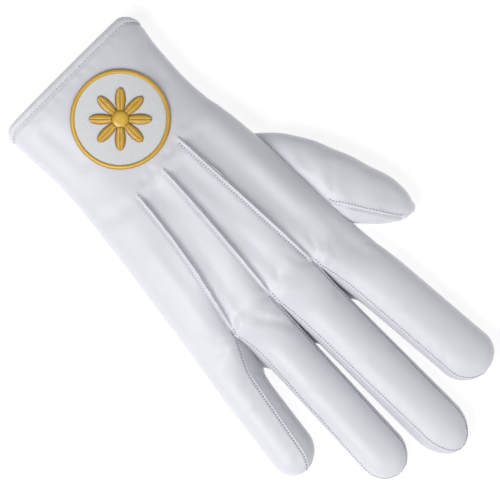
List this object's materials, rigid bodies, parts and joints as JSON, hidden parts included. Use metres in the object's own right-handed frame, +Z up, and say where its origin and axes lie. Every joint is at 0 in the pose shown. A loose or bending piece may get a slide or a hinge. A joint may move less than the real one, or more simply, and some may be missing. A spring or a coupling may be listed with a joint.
{
  "type": "parade glove",
  "caption": "White leather dress glove for the right hand, plump and hollow, with three raised points on its back, strips between the fingers, a bound cuff and a round gold-embroidered badge",
  "frame": {"origin": "middle of the underside of the overall box, on the surface that the palm rests on", "axes": "+Y along the fingers from the cuff, +Z up out of the glove's back, +X towards the little finger"},
  "size_m": [0.1326, 0.25, 0.0298],
  "materials": {
    "white_leather": "smooth, soft sheen",
    "side_leather": "smooth, soft sheen",
    "badge_cloth": "fine pale cloth",
    "gold_thread": "satin stitch, silky"
  },
  "bodies": {
    "root": {"trank": "white_leather", "fourchette_index_middle": "side_leather", "fourchette_middle_ring": "side_leather", "fourchette_ring_little": "side_leather", "thumb": "white_leather", "cuff_binding": "white_leather", "badge_patch": "badge_cloth", "badge_border": "gold_thread", "badge_rosette": "gold_thread"}
  },
  "joints": []
}
